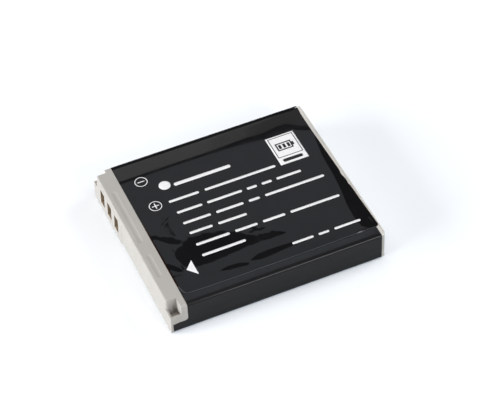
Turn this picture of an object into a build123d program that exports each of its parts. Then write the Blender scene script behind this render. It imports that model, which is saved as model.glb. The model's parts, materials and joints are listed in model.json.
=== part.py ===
"""Slim rechargeable camera battery: a flat lithium cell in a pale moulded frame, wrapped in black film.

The pack lies flat. +X runs from the terminal end to the base end, +Y to the far long side and +Z up.
The origin is at the middle of the underside. Every length is in millimetres.
"""

import os

from build123d import *

# Whole pack
pack_length = 40.3
pack_width = 35.4
pack_height = 5.9
long_edge_radius = 0.45

# Terminal end, the face that goes into the camera first
terminal_depth = 4.15  # from the terminal end to the lid of the cell
end_lean = 0.2  # how far the end face leans back from its foot to its top
end_top_radius = 0.3
end_foot_radius = 0.3
end_corner_radius = 0.25
end_wall = 1.15
land_step = 0.2  # the land round the contacts stands this far out of the end face
land_top = 4.95
land_margin = 2.5  # from the middle of the last contact to the edge of the land
land_ramp = 0.5  # length of the slope at that edge
cap_strip = 3.43  # pale strip of the frame that the film leaves bare on top

# Contact windows, counted from the far long side
contact_first = 4.17
contact_pitch = 3.3
window_width = 1.8
window_height = 2.95
window_rise = 0.25  # the windows' middle lies this far above the pack's
contact_overlap = 0.2  # a contact plate is this much wider than its window on either side
contact_foot = 0.525  # from the board's lower edge up to the contact plates
contact_head = 0.025  # from the contact plates up to the board's upper edge
contact_thickness = 0.3
contact_radius = 0.25

# Shallow grooves in the pale strip: where each begins, from the far side, and its length
groove_width = 0.95
groove_depth = 0.08
groove_from_film = 1.73
groove_runs = [(5.85, 13.45), (22.13, 5.7)]

# Keying notches in the two corners of the terminal end
notch_wall = 1.16  # pale wall left between a notch and the film
key_notch_width = 2.2
key_lip_height = 3.75
key_floor_height = 2.3
key_lip_wall = 0.45
far_notch_width = 1.0
notch_corner_radius = 0.55

# Film wrapped round the pack
film_thickness = 0.07
film_seat = 0.15  # the frame is set back this far under the film
film_gap = 0.06  # between the film's cut edge and the shoulder of its seat
film_tab_start = 0.7  # the film's lower flap stops this far from the terminal end
film_tab_height = 2.2
film_tab_radius = 0.6
seam_from_side = 2.0  # the film's overlapping end stops this far from the near side
seam_overlap = 2.6
seam_ramp = 0.9
seam_corner_radius = 1.0
film_end_strip = 0.85  # pale strip left bare at the base end, at its widest
film_skew = 0.5  # the printed layer was stuck on this much out of square

# Base end
base_wall = 0.8
base_rim = 0.25  # full-height rim beyond the film's seat
base_edge_radius = 0.2
base_corner_radius = 1.0
base_arm = 2.65
base_pad_thickness = 0.15
base_pad_side_margin = 1.6
base_pad_edge_margin = 0.8
base_pad_corner_radius = 0.4

# Rails of the frame along the cell
rail_wall = 0.5
rail_lip = 2.2  # how far the rails reach in over the cell
tongue_length = 1.0
tongue_height = 1.6

# Cell
cell_clearance = 0.05
cell_cover_gap = 0.05  # between the cell's flat faces and the film
cell_corner_radius = 2.2
cell_round_share = 0.48  # most of the cell's height that one rounded edge may take
cell_foot_radius = 0.6
weld_inset = 0.45
weld_width = 0.14
weld_depth = 0.1
vent_length = 5.0
vent_width = 2.2
vent_line = 0.2
vent_depth = 0.12
vent_from_rivet = 9.0

# Negative terminal in the lid
gasket_length = 4.6
gasket_thickness = 0.5
gasket_sunk = 0.25
gasket_corner_radius = 0.65
gasket_tube_radius = 1.1
rivet_head_length = 3.2
rivet_head_width = 2.0
rivet_head_thickness = 0.5
rivet_head_corner_radius = 0.5
rivet_radius = 0.7
rivet_depth = 1.0
fit_clearance = 0.02
plug_radius = 0.7
plug_depth = 0.35
plug_dome = 0.12
plug_from_rivet = 5.4

# Circuit board standing in the terminal end
chamber_wall = 0.9
chamber_side_wall = 0.65
board_thickness = 0.6
board_clearance = 0.1
board_corner_radius = 0.3
rib_width = 1.6
contact_setback = 0.05  # between the inside of the end wall and the contact plates

# Parts soldered to the board, as length along the pack's width, height and thickness
part_gap = 0.5
switch_size = (4.4, 2.4, 0.85)
guard_size = (2.9, 1.5, 0.95)
passive_size = (0.8, 1.6, 0.45)
passive_end = 0.32
passive_proud = 0.02
capacitor_thickness = 0.75
lead_width = 0.25
lead_reach = 0.4
lead_thickness = 0.14
lead_pitch = 0.65
resistor_count = 3
capacitor_count = 2

# Strips and insulation between the lid and the board
strip_thickness = 0.12
strip_width = 2.4
strip_bend_radius = 0.3
strip_end_margin = 0.5
strip_foot = 2.2
insulator_thickness = 0.2
insulator_margin = 0.2
insulator_hole_gap = 0.2
insulator_edge = 0.25  # paper left above and below the hole for the clad plate
gasket_edge = 0.35  # the same round the gasket
insulator_corner_radius = 0.45
clad_length = 3.4
clad_thickness = 0.25
clad_corner_radius = 0.35
cutoff_length = 3.4
cutoff_width = 2.4
cutoff_radius = 0.2

# Places that follow from the sizes above
x_end = -pack_length / 2
x_base = pack_length / 2
y_side = pack_width / 2
mid_height = pack_height / 2
z_window = mid_height + window_rise
x_foot = x_end + land_step
x_crest = x_foot + end_lean
x_wall_in = x_end + end_wall
x_lid = x_end + terminal_depth
x_house = x_lid - cell_clearance
x_film = x_end + cap_strip
x_notch = x_film - notch_wall
x_tab = x_end + film_tab_start
x_film_end = x_base - film_end_strip
x_base_in = x_base - base_wall
x_can_end = x_base_in - base_pad_thickness
x_rail_end = x_base - base_arm
x_contact = x_wall_in + contact_setback
x_board = x_contact + contact_thickness
x_board_in = x_board + board_thickness
x_insulator = x_lid - insulator_thickness
x_rivet_top = x_lid - gasket_thickness + gasket_sunk - rivet_head_thickness
y_notch = -y_side + key_notch_width
y_far_notch = y_side - far_notch_width
y_chamber_near = y_notch + chamber_side_wall
y_chamber_far = y_far_notch - chamber_side_wall
y_board_near = y_chamber_near + board_clearance
y_board_far = y_chamber_far - board_clearance
y_seam = -y_side + seam_from_side
y_cell = y_side - film_seat - rail_wall - cell_clearance
z_cell_low = film_seat + cell_cover_gap
cell_height = pack_height - 2 * z_cell_low
cell_corner = min(cell_corner_radius, cell_round_share * cell_height)
z_chamber_low = chamber_wall
z_chamber_high = pack_height - chamber_wall
z_board_low = z_chamber_low + board_clearance
z_board_high = z_chamber_high - board_clearance
z_contact_low = z_board_low + contact_foot
z_contact_high = z_board_high - contact_head
insulator_height = z_chamber_high - z_chamber_low - 2 * insulator_margin
clad_width = insulator_height - 2 * (insulator_hole_gap + insulator_edge)
gasket_width = insulator_height - 2 * (insulator_hole_gap + gasket_edge)
contact_ys = [y_side - contact_first - i * contact_pitch for i in range(3)]
y_land = contact_ys[-1] - land_margin
beyond = 2.0  # cutters run this far past the pack


def span(x0, x1, y0, y1, z0, z1):
    """A block between two limits on each axis."""
    middle = Pos((x0 + x1) / 2, (y0 + y1) / 2, (z0 + z1) / 2)
    return middle * Box(x1 - x0, y1 - y0, z1 - z0)


def along_x(outline, x0, x1):
    """An outline drawn in Y and Z, drawn out from x0 to x1."""
    return extrude(Plane.YZ.offset(x0) * outline, amount=x1 - x0, dir=(1, 0, 0))


def upright(y):
    """The plane across the pack's width at y, for outlines drawn in X and Z."""
    return Plane(origin=(0, y, 0), x_dir=(1, 0, 0), z_dir=(0, -1, 0))


def along_y(outline, y0, y1):
    """An outline drawn in X and Z, drawn out from y0 to y1."""
    return extrude(upright(y0) * outline, amount=y1 - y0, dir=(0, 1, 0))


def along_z(outline, z0, z1):
    """An outline drawn in X and Y, drawn out from z0 to z1."""
    return extrude(Plane.XY.offset(z0) * outline, amount=z1 - z0, dir=(0, 0, 1))


def section(inset, radius):
    """The pack's rounded section across its length, set in on all four sides."""
    outline = RectangleRounded(pack_width - 2 * inset, pack_height - 2 * inset, radius)
    return Pos(0, mid_height) * outline


def cell_section(grow=0.0):
    """The cell's section with its well rounded sides."""
    outline = RectangleRounded(2 * (y_cell + grow), cell_height + 2 * grow, cell_corner + grow)
    return Pos(0, mid_height) * outline


def rounded(outline, corner, radius):
    """Rounds the corner of an outline that lies nearest to a point."""
    nearest = outline.vertices().sort_by_distance(corner)[0]
    return fillet(nearest, radius)


seat_section = section(film_seat, long_edge_radius - film_seat)
film_section = section(film_seat - film_thickness, long_edge_radius - film_seat + film_thickness)


def bare_prism(x_edge, z_edge, radius):
    """The corner space over the terminal strip that the film leaves bare, from side to side."""
    outline = Polygon(
        (x_end - beyond, z_edge),
        (x_edge, z_edge),
        (x_edge, pack_height + beyond),
        (x_end - beyond, pack_height + beyond),
        align=None,
    )
    outline = rounded(outline, (x_edge, z_edge), radius)
    return along_y(outline, -y_side - beyond, y_side + beyond)


def film_seat_cutter(x_start, x_stop):
    """What is taken off the outside of the frame so that the film lies flush."""
    around = Pos(0, mid_height) * Rectangle(pack_width + beyond, pack_height + beyond)
    shell = along_x(around - seat_section, x_start, x_stop)
    bare = bare_prism(x_film - film_gap, film_tab_height + film_gap, film_tab_radius - film_gap)
    return shell - bare


def end_block():
    """The terminal end's outside: a leaning end face with rounded edges and upright corners."""
    side = Polygon(
        (x_foot, 0),
        (x_crest, pack_height),
        (x_house, pack_height),
        (x_house, 0),
        align=None,
    )
    side = rounded(side, (x_crest, pack_height), end_top_radius)
    side = rounded(side, (x_foot, 0), end_foot_radius)
    plan = Pos((x_end + x_house + beyond) / 2, 0) * RectangleRounded(
        x_house + beyond - x_end, pack_width, end_corner_radius
    )
    block = along_y(side, -y_side, y_side) & along_x(section(0, long_edge_radius), x_end, x_house)
    return block & along_z(plan, 0, pack_height)


def land_side(sunk):
    """The land's section along the pack, with its face set back by a given depth."""
    lean = end_lean / pack_height
    z_slope = land_top + 2 * land_step
    return Polygon(
        (x_end + sunk, end_foot_radius),
        (x_end + lean * land_top + sunk, land_top),
        (x_foot + lean * z_slope + sunk, z_slope),
        (x_wall_in, land_top),
        (x_wall_in, 0),
        (x_foot + sunk, 0),
        align=None,
    )


def contact_land():
    """The raised land round the contact windows, with a sloping upper edge and a ramp at its near edge."""
    y_crest = y_land + land_ramp
    ramp = loft(
        [upright(y_crest) * land_side(0.0), upright(y_land - land_ramp) * land_side(2 * land_step)],
        ruled=True,
    )
    plan = Pos((x_end + x_house + beyond) / 2, 0) * RectangleRounded(
        x_house + beyond - x_end, pack_width, end_corner_radius
    )
    return (along_y(land_side(0.0), y_crest, y_side) + ramp) & along_z(plan, 0, pack_height)


def notch_outline(y_wall, side):
    """Plan of a corner notch, with the standing corner of the end rounded. side is -1 near, 1 far."""
    y_out = side * (y_side + beyond)
    outline = Polygon(
        (x_end - beyond, y_wall),
        (x_notch, y_wall),
        (x_notch, y_out),
        (x_end - beyond, y_out),
        align=None,
    )
    r = notch_corner_radius
    x_face = (x_foot + x_crest) / 2
    corner = Pos(x_face, y_wall - side * r / 2) * Rectangle(2 * r, r)
    corner -= Pos(x_face + r, y_wall - side * r) * Circle(r)
    return outline + corner


def key_notch():
    """Near corner: open above its lips, with a deeper pocket behind them."""
    opening = along_z(notch_outline(y_notch, -1), key_lip_height, pack_height + beyond)
    pocket = span(
        x_foot + key_lip_wall,
        x_notch,
        -y_side + key_lip_wall,
        y_notch,
        key_floor_height,
        pack_height,
    )
    return opening + pocket


def far_notch():
    """Far corner: a plain step, as deep as the near corner's lips."""
    return along_z(notch_outline(y_far_notch, 1), key_lip_height, pack_height + beyond)


def grooves():
    """The shallow hollow-ground grooves in the top of the pale strip, each cut by a round-ended rod."""
    rod = groove_width**2 / (8 * groove_depth) + groove_depth / 2
    x, z = x_film - groove_from_film, pack_height - groove_depth + rod
    cuts = Part()
    for start, length in groove_runs:
        y_far = y_side - start - groove_width / 2
        y_near = y_side - start - length + groove_width / 2
        cuts += Pos(x, (y_near + y_far) / 2, z) * Rot(90, 0, 0) * Cylinder(rod, y_far - y_near)
        cuts += Pos(x, y_far, z) * Sphere(rod) + Pos(x, y_near, z) * Sphere(rod)
    return cuts


def contact_windows():
    """The three windows in the end wall that the camera's pins reach through."""
    z0, z1 = z_window - window_height / 2, z_window + window_height / 2
    cuts = Part()
    for y in contact_ys:
        cuts += span(x_end - beyond, x_board, y - window_width / 2, y + window_width / 2, z0, z1)
    return cuts


def board_ribs():
    """Ribs inside the end wall that the board stands against, clear of the contacts."""
    y_first = y_board_near + rib_width
    y_last = y_land - rib_width
    ribs = Part()
    for y in (y_first, (y_first + y_last) / 2, y_last):
        low, high = y - rib_width / 2, y + rib_width / 2
        ribs += span(x_wall_in, x_board, low, high, z_chamber_low, z_chamber_high)
    return ribs


def rail_section():
    """The two rails: the seat's section less the cell, and open over the cell's flat faces."""
    hollow = Pos(0, mid_height) * Rectangle(2 * (y_side - rail_lip), pack_height)
    return seat_section - cell_section(cell_clearance) - hollow


def rail_tongues(clearance):
    """Tongues on the rails' ends that line up the base cap."""
    x_stop = x_rail_end + tongue_length + clearance
    z0 = mid_height - tongue_height / 2 - clearance
    z1 = mid_height + tongue_height / 2 + clearance
    y_in, y_out = y_cell + cell_clearance, y_side - film_seat
    tongues = Part()
    for side in (-1, 1):
        y0, y1 = sorted((side * (y_in - clearance), side * (y_out + clearance)))
        tongues += span(x_rail_end - clearance, x_stop, y0, y1, z0, z1)
    return tongues


def make_terminal_frame():
    """The moulded frame: the terminal end with its board chamber, and a rail along each side."""
    chamber = span(
        x_wall_in, x_house + beyond, y_chamber_near, y_chamber_far, z_chamber_low, z_chamber_high
    )
    rails = along_x(rail_section(), x_house, x_rail_end) + rail_tongues(0.0)
    end = end_block() + contact_land() - chamber + board_ribs()
    end -= film_seat_cutter(x_tab - film_gap, x_house + beyond)
    end = end - key_notch() - far_notch() - grooves() - contact_windows()
    return end + rails


def make_base_cap():
    """The thin moulding that closes the base end, with an arm to meet each rail."""
    plan = Pos(x_base - base_arm / 2, 0) * RectangleRounded(base_arm, pack_width, base_corner_radius)
    plan &= Pos((x_base_in + x_base) / 2, 0) * Rectangle(base_wall, pack_width)
    plate = along_z(plan, 0, pack_height)
    ends = plate.faces().sort_by(Axis.Z)
    edges = ends[0].edges() + ends[-1].edges()
    plate = fillet(edges.filter_by(lambda edge: edge.center().X > x_base_in + base_rim), base_edge_radius)
    around = Pos(0, mid_height) * Rectangle(pack_width + beyond, pack_height + beyond)
    plate -= along_x(around - seat_section, x_base_in - beyond, x_base - base_rim)
    arms = along_x(rail_section(), x_rail_end + cell_clearance, x_base_in)
    return plate + arms - rail_tongues(cell_clearance)


def make_label_film():
    """The film: one sheet round the pack, its printed end lapped over its other end along the near edge."""
    wrap = along_x(film_section - seat_section, x_tab, x_film_end)
    wrap -= bare_prism(x_film, film_tab_height, film_tab_radius)
    z_in = pack_height - film_seat
    z_one = z_in + film_thickness
    z_two = z_one + film_thickness
    y_top = y_side - long_edge_radius
    x_skew = x_film_end + film_skew
    corner = Polygon((x_film_end, y_top), (x_film_end, y_seam), (x_skew, y_seam), align=None)
    wrap += along_z(corner, z_in, z_one)
    lap = Polygon(
        (y_seam, z_in),
        (y_seam, z_two),
        (y_seam + seam_overlap - seam_ramp, z_two),
        (y_seam + seam_overlap, z_one),
        (y_seam + seam_overlap, z_in),
        align=None,
    )
    printed = Polygon(
        (x_film, y_seam),
        (x_skew, y_seam),
        (x_film_end, y_top),
        (x_film, y_top),
        align=None,
    )
    printed = rounded(printed, (x_film, y_seam), seam_corner_radius)
    printed = rounded(printed, (x_skew, y_seam), seam_corner_radius)
    lap = along_x(lap, x_film, x_skew) & along_z(printed, z_in, z_two)
    return wrap + lap


def gasket_outline(grow=0.0):
    """Outline of the gasket's flange on the lid."""
    length, width = gasket_length + 2 * grow, gasket_width + 2 * grow
    return Pos(0, mid_height) * RectangleRounded(length, width, gasket_corner_radius + grow)


def clad_outline(grow=0.0):
    """Outline of the clad plate on the lid, between the positive strip's bend and the fill plug."""
    length, width = clad_length + 2 * grow, clad_width + 2 * grow
    return Pos(y_clad(), mid_height) * RectangleRounded(length, width, clad_corner_radius + grow)


def make_sealed_cell():
    """The flat cell: a drawn can with its lid welded on, closed for good."""
    can = along_x(cell_section(), x_lid, x_can_end)
    foot = can.faces().sort_by(Axis.X)[-1]
    can = fillet(foot.edges(), cell_foot_radius)
    weld = cell_section(-weld_inset) - cell_section(-weld_inset - weld_width)
    can -= along_x(weld, x_lid, x_lid + weld_depth)
    vent = SlotOverall(vent_length, vent_width)
    vent -= SlotOverall(vent_length - 2 * vent_line, vent_width - 2 * vent_line)
    can -= along_x(Pos(vent_from_rivet, mid_height) * vent, x_lid, x_lid + vent_depth)
    can -= along_x(gasket_outline(fit_clearance), x_lid, x_lid + gasket_sunk)
    hole = Pos(0, mid_height) * Circle(gasket_tube_radius + fit_clearance)
    can -= along_x(hole, x_lid, x_lid + gasket_sunk + rivet_depth)
    seat = Pos(-plug_from_rivet, mid_height) * Circle(plug_radius + fit_clearance)
    return can - along_x(seat, x_lid, x_lid + plug_depth)


def make_rivet_gasket():
    """The insulating gasket that carries the rivet through the lid."""
    x_in = x_lid + gasket_sunk
    body = along_x(gasket_outline(), x_in - gasket_thickness, x_in)
    body += along_x(Pos(0, mid_height) * Circle(gasket_tube_radius), x_in, x_in + rivet_depth)
    bore = Pos(0, mid_height) * Circle(rivet_radius + fit_clearance)
    return body - along_x(bore, x_in - gasket_thickness, x_in + rivet_depth)


def make_negative_rivet():
    """The negative terminal: a flat head on a short shank."""
    head = RectangleRounded(rivet_head_length, rivet_head_width, rivet_head_corner_radius)
    head = Pos(0, mid_height) * head
    shank = Pos(0, mid_height) * Circle(rivet_radius)
    x_under = x_rivet_top + rivet_head_thickness
    return along_x(head, x_rivet_top, x_under) + along_x(shank, x_under, x_lid + gasket_sunk + rivet_depth)


def make_fill_plug():
    """The domed plug that closes the filling hole."""
    profile = Pos(-plug_from_rivet, mid_height) * Circle(plug_radius)
    plug = along_x(profile, x_lid - plug_dome, x_lid + plug_depth)
    crown = plug.faces().sort_by(Axis.X)[0]
    return chamfer(crown.edges(), plug_dome, 2 * plug_dome)


def y_clad():
    """Middle of the clad plate."""
    return y_board_near + strip_end_margin + strip_bend_radius + clad_length / 2 + part_gap


def make_clad_plate():
    """The two-metal plate on the lid that the positive strip is welded to."""
    return along_x(clad_outline(), x_lid - clad_thickness, x_lid)


def make_lid_insulator():
    """The paper pad over the lid, cut out round what stands on it."""
    low, high = y_chamber_near + insulator_margin, y_chamber_far - insulator_margin
    pad = RectangleRounded(high - low, insulator_height, insulator_corner_radius)
    pad = Pos((low + high) / 2, mid_height) * pad
    pad = pad - gasket_outline(insulator_hole_gap) - clad_outline(insulator_hole_gap)
    pad -= Pos(-plug_from_rivet, mid_height) * Circle(plug_radius + insulator_hole_gap)
    return along_x(pad, x_insulator, x_lid)


def folded_strip(x_lid_side, y_bend, y_lid_end, y_board_end):
    """A nickel strip that lies on the lid side, folds across to the board and lies back along it."""
    half = strip_thickness / 2
    x_low, x_high = x_board_in + half, x_lid_side - half
    corners = [(x_high, y_lid_end), (x_high, y_bend), (x_low, y_bend), (x_low, y_board_end)]
    route = FilletPolyline(*corners, radius=strip_bend_radius)
    strip = trace(route, strip_thickness)
    return along_z(strip, mid_height - strip_width / 2, mid_height + strip_width / 2)


def make_positive_strip():
    """From the clad plate to the board."""
    y_bend = y_board_near + strip_end_margin
    return folded_strip(x_lid - clad_thickness, y_bend, y_clad() + clad_length / 2, y_bend + strip_foot)


def cutoff_limits():
    """Where the thermal cutoff's body lies along the lid, past the rivet's gasket."""
    start = gasket_length / 2 + insulator_hole_gap + part_gap
    return start, start + cutoff_length


def make_thermal_cutoff():
    """The thermal cutoff: a small body between two leads, one on the rivet and one on the insulator."""
    y0, y1 = cutoff_limits()
    body = Pos((y0 + y1) / 2, mid_height) * RectangleRounded(cutoff_length, cutoff_width, cutoff_radius)
    cutoff = along_x(body, x_rivet_top, x_insulator - strip_thickness)
    z0, z1 = mid_height - rivet_head_width / 2, mid_height + rivet_head_width / 2
    rivet_lead = (-rivet_head_length / 2, y1 - part_gap)
    board_lead = (y0 + part_gap, y1 + strip_foot)
    cutoff += span(x_rivet_top - strip_thickness, x_rivet_top, *rivet_lead, z0, z1)
    cutoff += span(x_insulator - strip_thickness, x_insulator, *board_lead, z0, z1)
    return cutoff


def make_negative_strip():
    """From the thermal cutoff's outer lead to the board."""
    y_bend = y_board_far - strip_end_margin
    y_lap = cutoff_limits()[1] + part_gap
    return folded_strip(x_insulator - strip_thickness, y_bend, y_lap, y_bend - strip_foot)


def make_circuit_board():
    """The protection board, standing on edge behind the contact windows."""
    height = z_board_high - z_board_low
    outline = RectangleRounded(y_board_far - y_board_near, height, board_corner_radius)
    middle = Pos((y_board_near + y_board_far) / 2, (z_board_low + z_board_high) / 2)
    return along_x(middle * outline, x_board, x_board_in)


def make_contact(index):
    """A plated contact on the board, behind its window."""
    width = window_width + 2 * contact_overlap
    plate = RectangleRounded(width, z_contact_high - z_contact_low, contact_radius)
    middle = Pos(contact_ys[index], (z_contact_low + z_contact_high) / 2)
    return along_x(middle * plate, x_contact, x_board)


def board_row():
    """Start of each soldered part along the board, in order from the near end."""
    y = y_board_near + strip_end_margin + strip_foot + part_gap
    lengths = [("thermistor", passive_size[0])]
    lengths += [(f"resistor_{i}", passive_size[0]) for i in range(resistor_count)]
    lengths += [("switch", switch_size[0])]
    lengths += [(f"capacitor_{i}", passive_size[0]) for i in range(capacitor_count)]
    lengths += [("guard", guard_size[0])]
    starts = {}
    for name, length in lengths:
        starts[name] = y
        y += length + part_gap
    return starts


def passive(name, thickness):
    """A chip resistor, capacitor or thermistor with its two wrapped ends standing slightly proud."""
    y0 = board_row()[name]
    length, height, _ = passive_size
    z0, z1 = mid_height - height / 2, mid_height + height / 2
    x_body = x_board_in + thickness - passive_proud
    chip = span(x_board_in, x_body, y0 + passive_proud, y0 + length - passive_proud, z0, z1)
    for low, high in ((z0, z0 + passive_end), (z1 - passive_end, z1)):
        chip += span(x_board_in, x_board_in + thickness, y0, y0 + length, low, high)
    return chip


def passives(name, count, thickness):
    """A group of like chips along the board."""
    return Compound([passive(f"{name}_{i}", thickness) for i in range(count)])


def leaded_chip(name, size, count):
    """A moulded chip with a row of leads along each long side."""
    y0 = board_row()[name]
    length, height, thickness = size
    body_z0, body_z1 = mid_height - height / 2, mid_height + height / 2
    raised = lead_thickness / 2
    body = span(x_board_in + raised, x_board_in + thickness, y0, y0 + length, body_z0, body_z1)
    top = body.faces().sort_by(Axis.X)[-1]
    body = chamfer(top.edges(), raised)
    for i in range(count):
        y = y0 + length / 2 + (i - (count - 1) / 2) * lead_pitch
        low, high = y - lead_width / 2, y + lead_width / 2
        x0, x1 = x_board_in, x_board_in + lead_thickness
        body += span(x0, x1, low, high, body_z0 - lead_reach, body_z0 + lead_reach)
        body += span(x0, x1, low, high, body_z1 - lead_reach, body_z1 + lead_reach)
    return body


def make_base_pad():
    """The adhesive pad between the can's closed end and the base cap."""
    width = 2 * (y_cell - base_pad_side_margin)
    height = cell_height - 2 * base_pad_edge_margin
    pad = Pos(0, mid_height) * RectangleRounded(width, height, base_pad_corner_radius)
    return along_x(pad, x_can_end, x_base_in)


pieces = {
    "terminal_frame": make_terminal_frame(),
    "base_cap": make_base_cap(),
    "label_film": make_label_film(),
    "sealed_cell": make_sealed_cell(),
    "rivet_gasket": make_rivet_gasket(),
    "negative_rivet": make_negative_rivet(),
    "fill_plug": make_fill_plug(),
    "clad_plate": make_clad_plate(),
    "lid_insulator": make_lid_insulator(),
    "positive_strip": make_positive_strip(),
    "thermal_cutoff": make_thermal_cutoff(),
    "negative_strip": make_negative_strip(),
    "circuit_board": make_circuit_board(),
    "contact_negative": make_contact(0),
    "contact_sense": make_contact(1),
    "contact_positive": make_contact(2),
    "switch_chip": leaded_chip("switch", switch_size, 4),
    "guard_chip": leaded_chip("guard", guard_size, 3),
    "thermistor": passive("thermistor", passive_size[2]),
    "chip_resistors": passives("resistor", resistor_count, passive_size[2]),
    "chip_capacitors": passives("capacitor", capacitor_count, capacitor_thickness),
    "base_pad": make_base_pad(),
}

os.makedirs("parts", exist_ok=True)
for name, piece in pieces.items():
    export_step(piece, f"parts/{name}.step")
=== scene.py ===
"""Dresses a slim camera battery: moulded frame, wrinkled glossy film, white print, studio and camera.

Fields are in millimetres in the pack's own frame, with +X from the terminal end to the base end, +Y to the
far long side and +Z up. Meshes are made in metres.
"""

import json
import logging
import math
from dataclasses import dataclass, field, replace
from enum import Enum
from typing import Callable

import bpy
import numpy as np
from mathutils import Matrix, Vector


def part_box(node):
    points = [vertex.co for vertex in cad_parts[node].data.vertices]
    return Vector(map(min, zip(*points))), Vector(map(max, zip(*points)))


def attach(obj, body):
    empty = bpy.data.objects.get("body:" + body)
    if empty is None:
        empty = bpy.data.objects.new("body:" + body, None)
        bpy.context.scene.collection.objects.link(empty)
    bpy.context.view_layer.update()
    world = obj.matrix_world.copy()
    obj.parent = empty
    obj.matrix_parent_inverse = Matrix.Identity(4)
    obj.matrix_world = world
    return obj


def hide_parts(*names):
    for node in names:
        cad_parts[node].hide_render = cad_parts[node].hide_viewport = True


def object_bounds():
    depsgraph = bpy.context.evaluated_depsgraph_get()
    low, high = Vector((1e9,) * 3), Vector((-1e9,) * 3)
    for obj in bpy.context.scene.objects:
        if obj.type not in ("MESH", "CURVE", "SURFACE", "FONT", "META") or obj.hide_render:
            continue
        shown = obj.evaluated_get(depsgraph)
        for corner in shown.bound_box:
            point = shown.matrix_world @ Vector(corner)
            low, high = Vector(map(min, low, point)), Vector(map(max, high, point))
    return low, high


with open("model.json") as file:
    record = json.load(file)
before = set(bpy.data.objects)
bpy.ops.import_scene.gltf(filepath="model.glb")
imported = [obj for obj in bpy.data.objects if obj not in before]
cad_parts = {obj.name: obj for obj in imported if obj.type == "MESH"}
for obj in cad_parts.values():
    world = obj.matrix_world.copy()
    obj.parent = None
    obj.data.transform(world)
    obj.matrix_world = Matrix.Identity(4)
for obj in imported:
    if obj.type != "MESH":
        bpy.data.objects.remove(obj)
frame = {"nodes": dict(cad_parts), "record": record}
packed_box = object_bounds()

LOG = logging.getLogger("camera_battery")
MM = 0.001
BODY = "root"

# Values of a noise between which a range or a blend runs.
NOISE_RANGE = (0.3, 0.7)
# Stretches that draw a noise out into lines along one axis, and into short fibres.
LINES_ALONG_X, LINES_ALONG_Y, LINES_ALONG_Z = (0.08, 1.0, 1.0), (1.0, 0.08, 1.0), (1.0, 1.0, 0.08)
FIBRES = (1.0, 0.4, 1.0)
# A place on a lattice stays this far from its length, so that it always has a next point.
LATTICE_END = 1.001
QUARTER_DEG = 90.0

Point = tuple[float, float]
Triple = tuple[float, float, float]
Profile = tuple[float, ...]
Colour = Triple
Spots = tuple[np.ndarray, np.ndarray]
Patch = tuple[np.ndarray, list]
Socket = bpy.types.NodeSocket
Material = bpy.types.Material
Piece = bpy.types.Object


class Slot(Enum):
    """Material slots of the record."""

    MOULDING = "pale_moulding"
    FILM = "black_film"
    PRINT = "white_print"
    CAN = "can_metal"
    GASKET = "gasket_plastic"
    NICKEL = "nickel"
    PAPER = "insulating_paper"
    BOARD = "board"
    GOLD = "gold_plate"
    CHIP = "chip_moulding"
    CERAMIC = "ceramic"
    FOAM = "adhesive_foam"


class FilmFace(Enum):
    """Faces of the film's sheet that differ in finish, numbered as its materials are."""

    GLOSS = 0
    CUT = 1
    # The lap's lip, the seam corner and their cut edges, lighter than the film: painted highlight.
    LAP = 2
    # The bare strip by the near side, lighter than the printed film: painted reflection.
    BARE = 3
    # Reddish near-black for the first column along the printed layer's dipped terminal-end edge.
    WORN = 4


class Facing(Enum):
    """What a light is turned to."""

    PACK = "pack"
    NEAR_SIDE = "near_side"


@dataclass(frozen=True)
class Texture:
    """A smooth noise.

    Attributes:
        size_mm: size of its largest features.
        detail: octaves of finer noise on top.
        stretch: factor on each axis of its coordinates.
    """

    size_mm: float
    detail: float = 3.0
    stretch: Triple | None = None


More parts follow.
